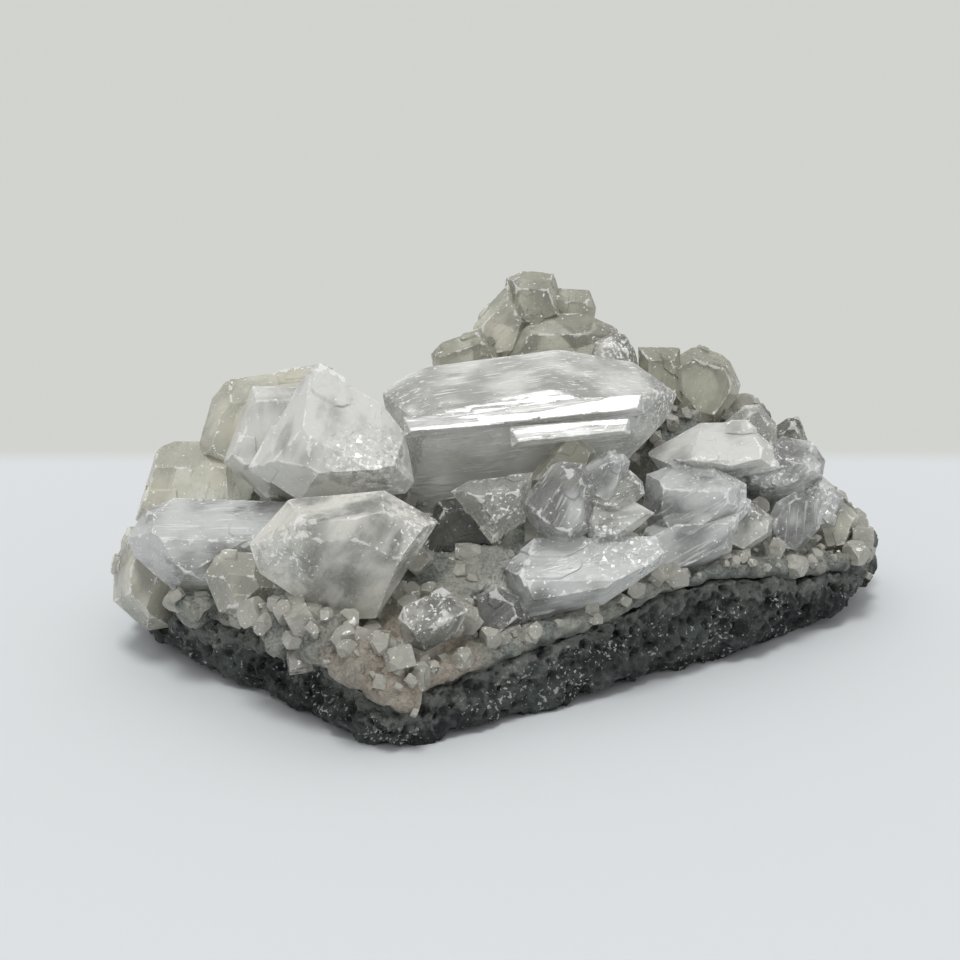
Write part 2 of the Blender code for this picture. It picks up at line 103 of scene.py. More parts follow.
def crystal(centre, outline, front, back, lean=25, facets=()):
    """Planes of one crystal: its outline faces, head-on faces before and behind, and further facets.

    The outline lists (angle, distance) or (angle, distance, lean) of each side. The lean is that of the
    bevel between the side and the front face.
    """
    middle = Vector(centre)
    chance = random.Random(repr(centre))
    planes = []

    def add(angle, tilt, distance):
        angle += chance.uniform(-FACE_WOBBLE, FACE_WOBBLE)
        tilt += chance.uniform(-FACE_WOBBLE, FACE_WOBBLE)
        normal = face_normal(angle, tilt)
        planes.append((normal, distance + normal.dot(middle)))

    for side in outline:
        angle, distance = side[:2]
        tilt = side[2] if len(side) == 3 else lean
        add(angle, tilt, distance * math.cos(math.radians(tilt)))
        add(angle, -BACK_LEAN, distance * math.cos(math.radians(BACK_LEAN)))
    add(90, 90, front)
    add(270, -90, back)
    for angle, tilt, distance in facets:
        add(angle, tilt, distance)
    return planes


def plane_arrays(planes):
    return np.array([normal for normal, _ in planes]), np.array([distance for _, distance in planes])


def plane_corners(planes):
    """Corners of the solid that lies behind all the planes."""
    normals, distances = plane_arrays(planes)
    trios = np.array(list(itertools.combinations(range(len(planes)), 3)))
    systems = normals[trios]
    solvable = np.abs(np.linalg.det(systems)) > MEETING
    points = np.linalg.solve(systems[solvable], distances[trios[solvable]][..., None])[..., 0]
    inside = (points @ normals.T <= distances + OUTSIDE).all(axis=1)
    return points[inside]


def crystal_mesh(planes):
    """Closed mesh of one crystal, in millimetres."""
    shape = bmesh.new()
    for point in plane_corners(planes):
        shape.verts.new(point)
    bmesh.ops.remove_doubles(shape, verts=shape.verts, dist=CORNER_MERGE)
    hull = bmesh.ops.convex_hull(shape, input=shape.verts)
    inner = {part for part in hull["geom_interior"] if isinstance(part, bmesh.types.BMVert)}
    bmesh.ops.delete(shape, geom=list(inner), context="VERTS")
    bmesh.ops.dissolve_limit(shape, angle_limit=math.radians(FLAT_ANGLE), verts=shape.verts,
                             edges=shape.edges)
    bmesh.ops.recalc_face_normals(shape, faces=shape.faces)
    return shape


# Each function below is one group of crystals that have grown into each other

def barrel_face_axes():
    """The normal of the barrel's upper face, and its directions along and up the barrel."""
    normal = face_normal(*BARREL_FACE)
    run = (VIEW_RIGHT - normal * VIEW_RIGHT.dot(normal)).normalized()
    climb = normal.cross(run)
    return normal, run, climb if climb.z > 0 else -climb


def barrel_ledge(along, up, length, width):
    """A thin step on the barrel's upper face. It runs along the barrel, up and along from the middle."""
    normal, run, climb = barrel_face_axes()
    centre = Vector(BARREL_CENTRE) + normal * BARREL_FACE_DISTANCE + run * along + climb * up
    angle = BARREL_FACE[0]
    outline = ((angle, width / 2), (angle + 180, width / 2), (angle - 90, length / 2, 40),
               (angle + 90, length / 2, 40))
    return crystal(tuple(centre), outline, front=4, back=3, facets=((*BARREL_FACE, LEDGE_RISE),))


def striated_barrel_crystal():
    return [
        crystal(BARREL_CENTRE,
                ((10, 27), (55, 18.5, 20), (80, 12.5, 35), (98, 10.5, 35), (115, 13.5, 35), (133, 17, 35),
                 (190, 19), (275, 12.5, 45), (290, 13.5, 50), (315, 17, 30), (340, 23, 30)),
                front=14, back=12, facets=((*BARREL_FACE, BARREL_FACE_DISTANCE), (270, 55, 12.5))),
        barrel_ledge(7, -4.4, 26, 3.2),
        barrel_ledge(9, -8, 18, 2.8),
        barrel_ledge(-8, -6, 16, 3),
        crystal((8, -10, 34),
                ((50, 4), (115, 3.5), (140, 2.5), (255, 5), (295, 5), (340, 4)),
                front=2, back=6),
    ]


def milky_block_crystals():
    return [
        crystal((-27, -12, 37),
                ((10, 11), (38, 9.5, 40), (60, 9, 50), (110, 11.5), (150, 9, 30), (210, 12),
                 (238, 10, 35), (272, 8), (325, 13, 35)),
                front=8, back=10, facets=((185, 60, 8.5),)),
        crystal((-36, -4, 35), ((5, 7), (90, 8.5), (160, 7, 20), (230, 8), (270, 9)), front=5, back=8),
        crystal((-38, 4, 36),
                ((70, 10.5), (97, 7.5, 35), (140, 9.5, 30), (165, 10), (240, 11), (270, 9), (300, 9),
                 (355, 10)),
                front=6, back=10),
        crystal((-51, 2, 27),
                ((5, 10), (90, 6, 30), (110, 6.5), (165, 6.5, 15), (240, 10), (285, 8)),
                front=7, back=9),
    ]


def tilted_cube_crystal():
    return [
        crystal((-25, -28, 26),
                ((60, 10.5, 20), (95, 8), (138, 10.5, 30), (200, 12.5, 50), (238, 9.5, 50), (270, 10, 55),
                 (328, 9.5, 15)),
                front=8, back=14, facets=((0, 70, 8.5), (180, 65, 8.5))),
    ]


def left_prism_crystals():
    return [
        crystal((-46, -12, 22),
                ((88, 6, 45), (115, 8), (145, 11, 35), (180, 13, 30), (205, 12, 45), (230, 10, 35),
                 (270, 8.5, 30), (300, 9, 45), (325, 10, 30), (20, 14)),
                front=6, back=12),
        crystal((-58, -4, 11),
                ((20, 9), (55, 9), (90, 9), (155, 6), (180, 5), (228, 5), (280, 7), (340, 6)),
                front=8, back=9),
        crystal((-41, -20, 18),
                ((30, 4.5), (85, 4.5, 40), (115, 5, 40), (150, 5, 40), (200, 4.5, 40), (260, 5),
                 (312, 4.5)),
                front=4, back=9),
    ]


def centre_crystals():
    return [
        crystal((-3, -18, 30),
                ((95, 3.5, 40), (120, 4.5), (220, 4, 40), (300, 5, 40), (355, 5)),
                front=3, back=10),
        crystal((7, -18, 30),
                ((35, 6), (85, 6), (115, 5.5), (140, 4.5, 35), (205, 5.5), (230, 5.5), (260, 6), (310, 6),
                 (350, 5)),
                front=4, back=10),
        crystal((14, -14, 33),
                ((40, 4), (80, 3.5), (110, 3), (135, 3), (180, 4), (245, 5), (295, 5), (345, 3)),
                front=3, back=9),
        crystal((16, -17, 31),
                ((10, 3.5), (45, 3.5), (128, 2, 45), (225, 4), (260, 3), (312, 2.5, 40)),
                front=2, back=9),
        crystal((15, -18, 27),
                ((60, 4), (95, 3, 45), (145, 4), (205, 4.5), (265, 3.5, 30), (310, 3)),
                front=2.5, back=10),
        crystal((-8, -14, 22),
                ((50, 6), (100, 7), (150, 6), (210, 6), (285, 6), (340, 6)),
                front=3, back=8),
    ]


def lower_milky_crystals():
    return [
        crystal((10, -21, 20),
                ((40, 12), (90, 5, 50), (130, 8, 30), (200, 11, 30), (245, 9.5), (280, 5.5, 30), (305, 6),
                 (325, 9)),
                front=5, back=10),
        crystal((-3, -25, 15),
                ((20, 4.5), (60, 4), (110, 4), (170, 4), (240, 4), (310, 4)),
                front=3, back=8),
    ]


def front_cube_crystal():
    return [
        crystal((-12, -33, 17),
                ((55, 4.5, 35), (115, 3.5, 45), (155, 4.5, 35), (195, 4.5), (250, 4.5), (300, 3.5, 30),
                 (330, 4)),
                front=4, back=9),
    ]


def right_spray_crystals():
    return [
        crystal((32, 1, 32),
                ((10, 9, 30), (50, 6.5), (90, 4.5, 50), (120, 5, 40), (150, 9), (215, 9), (262, 5, 30),
                 (285, 5)),
                front=5, back=12),
        crystal((39, 8, 34),
                ((5, 3.5), (40, 3), (95, 3.5), (130, 3.5), (200, 5), (245, 7), (305, 6)),
                front=3, back=7),
        crystal((45, 11, 26),
                ((35, 6, 35), (80, 5, 40), (115, 5), (155, 8), (200, 9), (245, 7), (280, 5), (300, 4.5),
                 (350, 6)),
                front=5, back=9),
        crystal((28, -5, 25),
                ((0, 8.5, 35), (60, 7), (85, 6.5, 40), (110, 7), (175, 7.5), (210, 7.5), (260, 7),
                 (295, 7), (315, 6.5, 35)),
                front=5, back=12),
        crystal((27, -9, 20),
                ((90, 4.5), (115, 5), (160, 7), (255, 5.5), (295, 4), (350, 7)),
                front=3, back=10),
        crystal((37, -2, 20),
                ((55, 4), (130, 4), (185, 5), (245, 4), (305, 3), (350, 4)),
                front=2, back=9),
    ]


def right_end_crystals():
    return [
        crystal((45, 4, 19),
                ((0, 4.5), (75, 5), (120, 4), (155, 3.5), (195, 4), (260, 5), (320, 4)),
                front=2, back=10),
        crystal((54, 13, 15), ((50, 4), (115, 4), (195, 4), (280, 4), (340, 3)), front=3, back=9),
        crystal((51, 12, 19), ((45, 4), (130, 5), (220, 5), (285, 4), (345, 3.5)), front=3, back=8),
    ]


def right_knob_crystal():
    return [
        crystal((47, 19, 27),
                ((25, 3), (55, 4.5), (90, 5), (125, 4.5), (180, 4), (250, 7), (290, 7), (345, 4)),
                front=3, back=7),
    ]


def crest_crystals():
    return [
        crystal((4, 30, 50),
                ((20, 4.5), (85, 4.5, 40), (115, 5), (172, 5), (250, 6), (290, 6)),
                front=4, back=7),
        crystal((11, 30, 48),
                ((20, 3.5), (85, 3.5, 40), (165, 4.5), (225, 5), (305, 6), (350, 3.5)),
                front=3, back=6),
        crystal((-2, 27, 46),
                ((30, 5), (135, 3.5, 30), (155, 3.5), (180, 4), (280, 6), (340, 5)),
                front=3, back=8),
        crystal((-8, 23, 41),
                ((30, 6), (60, 5.5), (110, 4, 40), (135, 4.5), (190, 5), (250, 6), (285, 6), (325, 6)),
                front=3, back=8),
        crystal((9, 25, 44),
                ((65, 5.5), (92, 4.5, 45), (150, 7), (180, 10), (270, 7), (320, 9), (10, 9)),
                front=4, back=9),
        crystal((17, 16, 43),
                ((15, 3.5), (40, 3.5), (70, 4, 40), (120, 4), (160, 4), (200, 5), (250, 6), (290, 6)),
                front=3, back=9),
    ]


def back_right_crystals():
    return [
        crystal((32, 20, 38),
                ((25, 5.5), (50, 5.5), (70, 5.5, 35), (95, 6), (120, 6), (170, 7), (220, 6), (260, 7),
                 (325, 6), (345, 6)),
                front=4, back=8),
        crystal((24, 18, 41), ((5, 4), (90, 3.5, 40), (180, 3), (230, 4), (270, 6)), front=3, back=8),
    ]


CRYSTAL_GROUPS = {
    "striated_barrel_crystal": striated_barrel_crystal,
    "milky_block_crystals": milky_block_crystals,
    "tilted_cube_crystal": tilted_cube_crystal,
    "left_prism_crystals": left_prism_crystals,
    "centre_crystals": centre_crystals,
    "lower_milky_crystals": lower_milky_crystals,
    "front_cube_crystal": front_cube_crystal,
    "right_spray_crystals": right_spray_crystals,
    "right_end_crystals": right_end_crystals,
    "right_knob_crystal": right_knob_crystal,
    "crest_crystals": crest_crystals,
    "back_right_crystals": back_right_crystals,
}


# How each crystal of a group looks, in the order of its group: material, direction of its growth lines in
# the show view in degrees, share of milkiness, polish, and width of its worn edges in millimetres

LOOKS = {
    "striated_barrel_crystal": (
        ("barrel", 6, 0.48, 0.1, 0.5),
        ("barrel", 6, 0.3, 0.6, 0.12),
        ("barrel", 6, 0.3, 0.5, 0.12),
        ("barrel", 6, 0.3, 0.5, 0.12),
        ("yellow", 50, 0.7, 0.2, 0.2),
    ),
    "milky_block_crystals": (
        ("milky", 70, 0.75, 0.1, 0.6),
        ("milky", 80, 0.6, 0.1, 0.6),
        ("yellow", 75, 0.4, 0.1, 0.6),
        ("yellow", 75, 0.35, 0.3, 0.4),
    ),
    "tilted_cube_crystal": (("clear", 55, 0.6, 0.3, 0.4),),
    "left_prism_crystals": (
        ("grey", 3, 0.58, 0.3, 0.5),
        ("yellow", 80, 0.4, 0.1, 0.6),
        ("yellow", 70, 0.2, 0.4, 0.4),
    ),
    "centre_crystals": (
        ("clear", 80, 0.1, 0.7, 0.25),
        ("grey", 60, 0.3, 0.4, 0.7),
        ("grey", 60, 0.5, 0.1, 0.7),
        ("clear", 40, 0.3, 0.8, 0.2),
        ("milky", 20, 0.5, 0.3, 0.3),
        ("dark", 60, 0.0, 0.5, 0.3),
    ),
    "lower_milky_crystals": (("grey", 20, 0.7, 0.1, 0.7), ("clear", 40, 0.2, 0.6, 0.4)),
    "front_cube_crystal": (("clear", 60, 0.35, 0.5, 0.4),),
    "right_spray_crystals": (
        ("milky", 20, 0.6, 0.2, 0.6),
        ("clear", 70, 0.3, 0.3, 0.6),
        ("grey", 40, 0.6, 0.3, 0.6),
        ("grey", 30, 0.62, 0.3, 0.5),
        ("grey", 30, 0.58, 0.3, 0.4),
        ("clear", 60, 0.3, 0.5, 0.3),
    ),
    "right_end_crystals": (
        ("grey", 85, 0.5, 0.1, 0.3),
        ("yellow", 80, 0.5, 0.2, 0.4),
        ("grey", 70, 0.4, 0.2, 0.4),
    ),
    "right_knob_crystal": (("dark", 80, 0.1, 0.6, 0.4),),
    "crest_crystals": (
        ("olive", 80, 0.5, 0.3, 0.5),
        ("olive", 80, 0.4, 0.3, 0.5),
        ("yellow", 40, 0.5, 0.5, 0.4),
        ("olive", 30, 0.3, 0.3, 0.5),
        ("olive", 10, 0.3, 0.2, 0.5),
        ("clear", 80, 0.3, 0.7, 0.7),
    ),
    "back_right_crystals": (("olive", 70, 0.4, 0.2, 0.9), ("olive", 85, 0.6, 0.3, 0.5)),
}

# Spots where the crystals sparkle, each as its middle and radius. There the crystals get flake relief, and
# white flecks as painted glints
SPARKLES = (
    (-20, -20, 36, 9),
    (-34, -34, 26, 7),
    (-15, -30, 29, 6),
    (32, 0, 24, 10),
    (40, 8, 28, 7),
    (22, -20, 20, 7),
    (17, 14, 45, 5),
    (25, -4, 41, 7),
    (-2, -19, 29, 4.5),
    (14, -22, 25, 4.5),
    (50, 8, 22, 5),
    (-12, -34, 19, 4),
)

# Where the barrel is smooth and shiny: its middle along and up the upper face, and its half sizes
BARREL_SHINE = (8, -7)
BARREL_SHINE_HALF_SIZES = (24, 12)

# Mesh of the crystals, in millimetres: edge length and slow waves of the faces
CELL = 1.1
BARREL_CELL = 0.7
REFINE_ROUNDS = 7
WAVE = 0.06
WAVE_SIZE = 4.0
SHARP_ANGLE = 18

# Growth steps of the faces: their height by material, and how their pattern is stretched along the growth
# lines, across them and to the viewer
STEP_HEIGHTS = {"barrel": 0.08, "grey": 0.06, "milky": 0.05}
OTHER_STEP_HEIGHT = 0.04
STEP_STRETCH = (0.06, 0.7, 0.25)
STEP_LEVELS = 3

# Smaller crystals at a crystal's corners: how many, their share of its size, and how far out they stand
GROWTH_COUNTS = (2, 3, 3, 4)
GROWTH_SIZES = (0.25, 0.5)
GROWTH_REACHES = (1.07, 1.14)
GROWTH_MERGE = 0.01
GROWTH_FLAT_ANGLE = 0.5

# Worn edges: the least angle between two faces that wears, and how near points are joined afterwards
WEAR_ANGLE = 8
WEAR_MERGE = 0.02

# Marks for the materials: size and swing of the milky clouds, how far each crystal's patterns are shifted
# at random, how far rims reach and from which angle between faces, and how much flatter shiny places are
CLOUD_SIZE = 6
CLOUD_SWING = 0.5
DRIFT = 90
RIM_REACH = 2.0
RIM_ANGLE = 28
FLATTER_BY_SHINE = 0.9


# Meshes

def long_edges(shape, length):
    return [edge for edge in shape.edges if edge.calc_length() > length]


def halve(shape, edges):
    bmesh.ops.subdivide_edges(shape, edges=edges, cuts=1, use_grid_fill=False)
    bmesh.ops.triangulate(shape, faces=shape.faces)


def refine(shape, cell):
    """Halves edges longer than a cell, a few times over."""
    bmesh.ops.triangulate(shape, faces=shape.faces)
    for _ in range(REFINE_ROUNDS):
        edges = long_edges(shape, cell)
        if not edges:
            break
        halve(shape, edges)


def new_piece(name, shape, material, node):
    """Makes an object from a mesh in metres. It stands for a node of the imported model."""
    mesh = bpy.data.meshes.new(name)
    shape.to_mesh(mesh)
    shape.free()
    mesh.shade_smooth()
    mesh.set_sharp_from_angle(angle=math.radians(SHARP_ANGLE))
    mesh.materials.append(material)
    piece = bpy.data.objects.new(name, mesh)
    bpy.context.scene.collection.objects.link(piece)
    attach(piece, "root")
    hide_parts(node)


def layout_base():
    """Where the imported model's origin lies in the layout, in millimetres."""
    points = np.concatenate([plane_corners(planes) for planes in striated_barrel_crystal()])
    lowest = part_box("striated_barrel_crystal")[0]
    return Vector(points.min(axis=0)) - lowest / MM


BASE = layout_base()
TO_MODEL = Matrix.Scale(MM, 4) @ Matrix.Translation(-BASE)


def growth_axes(angle):
    """Turns a layout direction to the crystal's own: along its growth lines, across, and to the viewer."""
    along = face_normal(angle, 0)
    across = face_normal(angle + 90, 0)
    return Matrix((along, across, TO_VIEWER))


def sparkle_at(point):
    """How much a point sparkles, from 0 to 1."""
    best = 0.0
    for x, y, z, radius in SPARKLES:
        apart = (point - Vector((x, y, z))).length / radius
        best = max(best, 1.0 - apart * apart)
    return best


def barrel_shine(point):
    """How shiny the barrel is at a point, from 0 to 1."""
    _, run, climb = barrel_face_axes()
    away = point - Vector(BARREL_CENTRE)
    along = (away.dot(run) - BARREL_SHINE[0]) / BARREL_SHINE_HALF_SIZES[0]
    up = (away.dot(climb) - BARREL_SHINE[1]) / BARREL_SHINE_HALF_SIZES[1]
    return max(0.0, 1.0 - along * along - up * up)


def rim_distances(points, planes):
    """How far points of a crystal's surface are from the nearest edge between faces that clearly differ."""
    normals, distances = plane_arrays(planes)
    depths = distances - points @ normals.T
    cosines = (normals @ normals.T)[depths.argmin(axis=1)]
    apart = depths / np.sqrt(np.clip(1 - cosines * cosines, 1e-6, 1))
    apart[cosines > math.cos(math.radians(RIM_ANGLE))] = RIM_REACH
    return np.clip(apart.min(axis=1), 0, RIM_REACH)


def displaced(point, local, step):
    """How far a point of a crystal's face stands out: slow waves and low growth steps."""
    wave = noise.noise(point / WAVE_SIZE) * WAVE
    band = noise.noise(Vector([part * stretch for part, stretch in zip(local, STEP_STRETCH)]))
    return wave + step * round(band * STEP_LEVELS) / STEP_LEVELS


def corner_growths(name, planes):
    """Smaller crystals at a crystal's corners, turned as it is and a little proud of it."""
    chance = random.Random(name)
    corners = [Vector(corner) for corner in plane_corners(planes)]
    middle = sum(corners, Vector()) / len(corners)
    growths = []
    for _ in range(chance.choice(GROWTH_COUNTS)):
        size = chance.uniform(*GROWTH_SIZES)
        reach = (1 - size) * chance.uniform(*GROWTH_REACHES)
        centre = middle + (chance.choice(corners) - middle) * reach
        growths.append([(normal, normal.dot(centre) + size * (distance - normal.dot(middle)))
                        for normal, distance in planes])
    return growths


def grown_together(crystals):
    """One closed mesh of crystals that overlap."""
    things = []
    for planes in crystals:
        mesh = bpy.data.meshes.new("crystal")
        shape = crystal_mesh(planes)
        shape.to_mesh(mesh)
        shape.free()
        things.append(bpy.data.objects.new("crystal", mesh))
    group = bpy.data.collections.new("growths")
    bpy.context.scene.collection.objects.link(things[0])
    bpy.context.scene.collection.children.link(group)
    for thing in things[1:]:
        group.objects.link(thing)
    step = things[0].modifiers.new("union", "BOOLEAN")
    step.operation = "UNION"
    step.solver = "EXACT"
    step.operand_type = "COLLECTION"
    step.collection = group
    bpy.context.view_layer.update()
    shape = bmesh.new()
    shape.from_object(things[0], bpy.context.evaluated_depsgraph_get())
    for thing in things:
        mesh = thing.data
        bpy.data.objects.remove(thing)
        bpy.data.meshes.remove(mesh)
    bpy.data.collections.remove(group)
    bmesh.ops.remove_doubles(shape, verts=shape.verts, dist=GROWTH_MERGE)
    bmesh.ops.dissolve_limit(shape, angle_limit=math.radians(GROWTH_FLAT_ANGLE), verts=shape.verts,
                             edges=shape.edges)
    return shape


def wear(shape, width):
    """Bevels the edges between faces that differ."""
    edges = [edge for edge in shape.edges
             if len(edge.link_faces) == 2 and edge.calc_face_angle(0) > math.radians(WEAR_ANGLE)]
    bmesh.ops.bevel(shape, geom=edges, offset=width, segments=2, affect="EDGES", clamp_overlap=True)
    bmesh.ops.remove_doubles(shape, verts=shape.verts, dist=WEAR_MERGE)


def move_out(shape, moves):
    for vert, move in zip(shape.verts, moves):
        vert.co += move


def crystal_piece(name, planes, look, node, materials):
    """One crystal. Its mesh carries where each point is along its growth lines, and marks for its looks."""
    material, angle, milk, polish, worn = look
    striated = material == "barrel"
    is_barrel = name == "striated_barrel_crystal_1"
    is_ledge = striated and not is_barrel
    growths = [] if striated else corner_growths(name, planes)
    shape = grown_together([planes, *growths])
    wear(shape, worn / 2)
    refine(shape, BARREL_CELL if striated else CELL)
    turn = growth_axes(angle)
    middle = sum((vert.co for vert in shape.verts), Vector()) / len(shape.verts)
    chance = random.Random(name)
    drift = Vector([chance.uniform(-DRIFT, DRIFT) for _ in range(3)])
    rims = rim_distances(np.array([vert.co for vert in shape.verts]), planes)
    step = 0.0 if is_ledge else STEP_HEIGHTS.get(material, OTHER_STEP_HEIGHT)
    local_layer = shape.verts.layers.float_vector.new("local")
    marks_layer = shape.verts.layers.float_color.new("marks")
    rim_layer = shape.verts.layers.float.new("rim")
    shape.normal_update()
    moves = []
    for vert, rim in zip(shape.verts, rims):
        local = turn @ (vert.co - middle) + drift
        cloud = milk + CLOUD_SWING * noise.noise(vert.co / CLOUD_SIZE + drift)
        shine = max(polish, barrel_shine(vert.co)) if is_barrel else polish
        vert[local_layer] = local
        vert[marks_layer] = (sparkle_at(vert.co), min(max(cloud, 0), 1), shine, 1)
        vert[rim_layer] = rim
        moves.append(vert.normal * displaced(vert.co, local, step) * (1 - FLATTER_BY_SHINE * shine))
    move_out(shape, moves)
    shape.transform(TO_MODEL)
    new_piece(name, shape, materials[material], node)


# Materials

def put(tree, kind, inputs=None, **settings):
    """Adds a node. Each input is either a number or colour, or an output to link to it."""
    node = tree.nodes.new(kind)
    for key, value in settings.items():
        setattr(node, key, value)
    for key, value in (inputs or {}).items():
        if isinstance(value, bpy.types.NodeSocket):
            tree.links.new(value, node.inputs[key])
        else:
            node.inputs[key].default_value = value
    return node


def maths(tree, operation, first, second, third=0.0):
    return put(tree, "ShaderNodeMath", {0: first, 1: second, 2: third}, operation=operation).outputs[0]


def spread(tree, value, levels, to=(0.0, 1.0)):
    """Where a value is between the levels, moved smoothly to another range."""
    inputs = {"Value": value, "From Min": levels[0], "From Max": levels[1]}
    inputs.update({"To Min": to[0], "To Max": to[1]})
    return put(tree, "ShaderNodeMapRange", inputs, interpolation_type="SMOOTHSTEP").outputs[0]


def blend(tree, share, first, second):
    """Mix of two colours. The numbers are the colour sockets of the mix node."""
    return put(tree, "ShaderNodeMix", {0: share, 6: first, 7: second}, data_type="RGBA").outputs[2]


def stretched(tree, coordinates, scale):
    return put(tree, "ShaderNodeVectorMath", {0: coordinates, 1: scale}, operation="MULTIPLY").outputs[0]


def noise_of(tree, coordinates, scale, detail, distortion=0.0):
    inputs = {"Vector": coordinates, "Scale": scale, "Detail": detail, "Distortion": distortion}
    return put(tree, "ShaderNodeTexNoise", inputs).outputs["Fac"]


def bump(tree, height, distance, below=None):
    inputs = {"Height": height, "Distance": distance, "Strength": 1.0}
    if below is not None:
        inputs["Normal"] = below
    return put(tree, "ShaderNodeBump", inputs).outputs[0]


def flake_height(tree, coordinates, scale, tilt):
    """Height of small cells that each lean their own way."""
    cells = put(tree, "ShaderNodeTexVoronoi", {"Vector": coordinates, "Scale": scale})
    away = put(tree, "ShaderNodeVectorMath", {0: coordinates, 1: cells.outputs["Position"]},
               operation="SUBTRACT").outputs[0]
    lean = put(tree, "ShaderNodeVectorMath", {0: cells.outputs["Color"], 1: (0.5, 0.5, 0.5)},
               operation="SUBTRACT").outputs[0]
    height = put(tree, "ShaderNodeVectorMath", {0: away, 1: lean}, operation="DOT_PRODUCT").outputs["Value"]
    return maths(tree, "MULTIPLY", height, tilt)


def attribute(tree, name):
    return put(tree, "ShaderNodeAttribute", attribute_name=name, attribute_type="GEOMETRY")


def new_material(name):
    material = bpy.data.materials.new(name)
    material.use_nodes = True
    return material, material.node_tree, material.node_tree.nodes["Principled BSDF"]


def in_millimetres(tree):
    """The point on the mesh, in millimetres."""
    place = put(tree, "ShaderNodeTexCoord").outputs["Object"]
    return stretched(tree, place, (1 / MM, 1 / MM, 1 / MM))


BORDER_SWING = (1.6, -0.8)


def ragged(tree, place, name, levels):
    """Where a mark on the mesh is between the levels, with a border that noise breaks up."""
    swing = maths(tree, "MULTIPLY_ADD", noise_of(tree, place, scale=0.5, detail=4), *BORDER_SWING)
    return spread(tree, maths(tree, "ADD", swing, attribute(tree, name).outputs["Fac"]), levels)


# Crystals by kind: name, clear colour, milky colour, clearness, roughness, height of growth lines in
# millimetres and strength of the painted reflection lines along them, in white

CRYSTAL_FINISHES = {
    "barrel": ("striated_crystal", (0.96, 0.96, 0.93, 1), (0.88, 0.89, 0.85, 1), 0.7, 0.2, 0.14, 0.75),
    "milky": ("milky_crystal", (0.97, 0.97, 0.93, 1), (0.88, 0.88, 0.84, 1), 0.7, 0.2, 0.04, 0.1),
    "grey": ("grey_crystal", (0.93, 0.94, 0.93, 1), (0.8, 0.82, 0.8, 1), 0.85, 0.16, 0.07, 0.4),
    "dark": ("smoky_crystal", (0.76, 0.76, 0.7, 1), (0.5, 0.5, 0.44, 1), 0.95, 0.1, 0.04, 0.1),
    "olive": ("olive_crystal", (0.74, 0.73, 0.62, 1), (0.38, 0.38, 0.29, 1), 0.75, 0.18, 0.04, 0.1),
    "clear": ("clear_crystal", (0.98, 0.98, 0.93, 1), (0.97, 0.96, 0.88, 1), 0.85, 0.08, 0.03, 0.1),
    "yellow": ("yellowish_crystal", (0.93, 0.92, 0.81, 1), (0.68, 0.66, 0.54, 1), 0.7, 0.16, 0.04, 0.1),
    "druse": ("druse_crystal", (0.84, 0.82, 0.74, 1), (0.48, 0.47, 0.41, 1), 0.6, 0.12, 0.02, 0.1),
}
CRYSTAL_IOR = 1.54
# White of chipped edges, and of the painted glints and painted reflection lines
CHIP_AND_PAINTED_LIGHT_WHITE = (1, 1, 0.99, 1)

# How much of the clearness is left where it is milky, how much the white of chips, painted glints and
# painted reflection lines takes away, and how flat and how rough the shiny bands are
MILKY_CLEARNESS = 0.35
WHITE_COVER = 0.85
SHINY_FLATNESS = 0.97
SHINY_ROUGHNESS = 0.15
PIT_DEPTH = 0.03

# Patterns on the crystals. A stretch is along the growth lines, across them and to the viewer, and levels
# say between which values a noise turns into the pattern.
VEIL_STRETCH = (0.6, 1.0, 1.0)
# Painted reflection lines: their stretch along the growth lines
REFLECTION_LINE_STRETCH = (0.05, 1.0, 1.0)
STRIPE_STRETCH = (0.07, 1.0, 1.0)
LINE_STRETCH = (0.04, 1.0, 1.0)
CLOUD_LEVELS = (0.1, 0.9)
# Painted glints: the levels at which noise turns into white flecks
PAINTED_GLINT_LEVELS = (0.69, 0.72)
CHIP_SWING = (2.0, -0.9)
CHIP_LEVELS = (0.0, 0.15)
# Painted reflection lines: the levels at which noise turns into white lines
REFLECTION_LINE_LEVELS = (0.58, 0.68)
STRIPE_LEVELS = (0.66, 0.7)
PIT_LEVELS = (0.62, 0.75)
# Painted glints: more of them where it sparkles and near the edges
PAINTED_GLINTS_BY_SPARKLE = 0.13
PAINTED_GLINT_RIM = (0.2, 1.6)
PAINTED_GLINTS_BY_RIM = (0.05, 0.0)
CHIP_WHITENESS = 0.6
STRIPES_BY_POLISH = 0.32
GRAIN = (0.7, 1.3)


def white_marks(tree, local, sparkle, reflection_line_strength):
    """How white it is: painted glints as white flecks where it sparkles and a few near the edges, white
    chips at the edges, and painted reflection lines along the growth lines.
    """
    rim = attribute(tree, "rim").outputs["Fac"]
    # Painted glints: white flecks where the crystal sparkles, and a few more near its edges
    painted_glints = noise_of(tree, local, scale=1.7, detail=3)
    painted_glints = maths(tree, "MULTIPLY_ADD", sparkle, PAINTED_GLINTS_BY_SPARKLE, painted_glints)
    painted_glints = maths(tree, "ADD", painted_glints, spread(tree, rim, PAINTED_GLINT_RIM, to=PAINTED_GLINTS_BY_RIM))
    painted_glints = spread(tree, painted_glints, PAINTED_GLINT_LEVELS)
    chips = maths(tree, "MULTIPLY_ADD", noise_of(tree, local, scale=0.6, detail=3), *CHIP_SWING)
    chips = spread(tree, maths(tree, "SUBTRACT", chips, rim), CHIP_LEVELS, to=(0.0, CHIP_WHITENESS))
    # Painted reflection: white lines along the growth lines
    painted_reflection_lines = noise_of(tree, stretched(tree, local, REFLECTION_LINE_STRETCH), scale=2.6, detail=2)
    painted_reflection_lines = spread(tree, painted_reflection_lines, REFLECTION_LINE_LEVELS, to=(0.0, reflection_line_strength))
    return maths(tree, "MAXIMUM", maths(tree, "MAXIMUM", painted_glints, chips), painted_reflection_lines)


